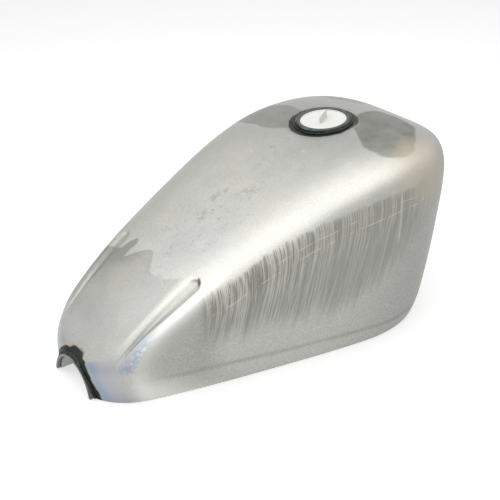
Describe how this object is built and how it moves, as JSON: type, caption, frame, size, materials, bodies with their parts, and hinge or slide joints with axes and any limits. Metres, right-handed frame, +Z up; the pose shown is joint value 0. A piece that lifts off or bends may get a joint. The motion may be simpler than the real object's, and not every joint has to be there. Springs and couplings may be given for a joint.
{
  "type": "motorcycle fuel tank",
  "caption": "Teardrop bare-steel motorcycle fuel tank: two pressed halves over an arched frame tunnel, with a push-in plug in the filler neck.",
  "frame": {"origin": "under mid-length of the tank, on the middle plane and the plane of the bottom rim that it stands on", "axes": "+X to the rear of the motorcycle, +Y to the rider's right, +Z up"},
  "size_m": [0.4971, 0.2884, 0.2291],
  "materials": {
    "shell_steel": "bare pressed sheet, hand-ground and sandblasted, satin with stains",
    "weld_metal": "raw weld bead",
    "scaled_weld": "raw weld bead with dark scale",
    "tunnel_steel": "bare folded sheet",
    "collar_steel": "bare plate, heat-tinted at the welds",
    "neck_steel": "turned, dull, with weld scale",
    "fitting_steel": "turned, bare",
    "bracket_steel": "cut plate, bare",
    "plug_plastic": "moulded white plastic"
  },
  "bodies": {
    "tank": {"shell_left": "shell_steel", "shell_right": "shell_steel", "pan_left": "tunnel_steel", "pan_right": "tunnel_steel", "tunnel": "tunnel_steel", "front_collar": "collar_steel", "rear_collar": "collar_steel", "seam_weld_front": "shell_steel", "seam_weld_rear": "shell_steel", "rim_weld_left": "weld_metal", "rim_weld_right": "weld_metal", "tunnel_weld_left": "weld_metal", "tunnel_weld_right": "weld_metal", "nose_weld": "scaled_weld", "tail_weld": "scaled_weld", "filler_weld": "scaled_weld", "filler_neck": "neck_steel", "petcock_bung": "fitting_steel", "petcock_weld": "weld_metal", "front_boss_left": "fitting_steel", "front_boss_right": "fitting_steel", "rear_bracket": "bracket_steel", "bracket_welds": "weld_metal"},
    "plug": {"filler_plug": "plug_plastic"}
  },
  "joints": [
    {"name": "plug_pull", "type": "slide", "parent": "tank", "child": "plug", "axis": [-0.1058, 0, 0.9944], "range_m": [0, 0.06]}
  ]
}
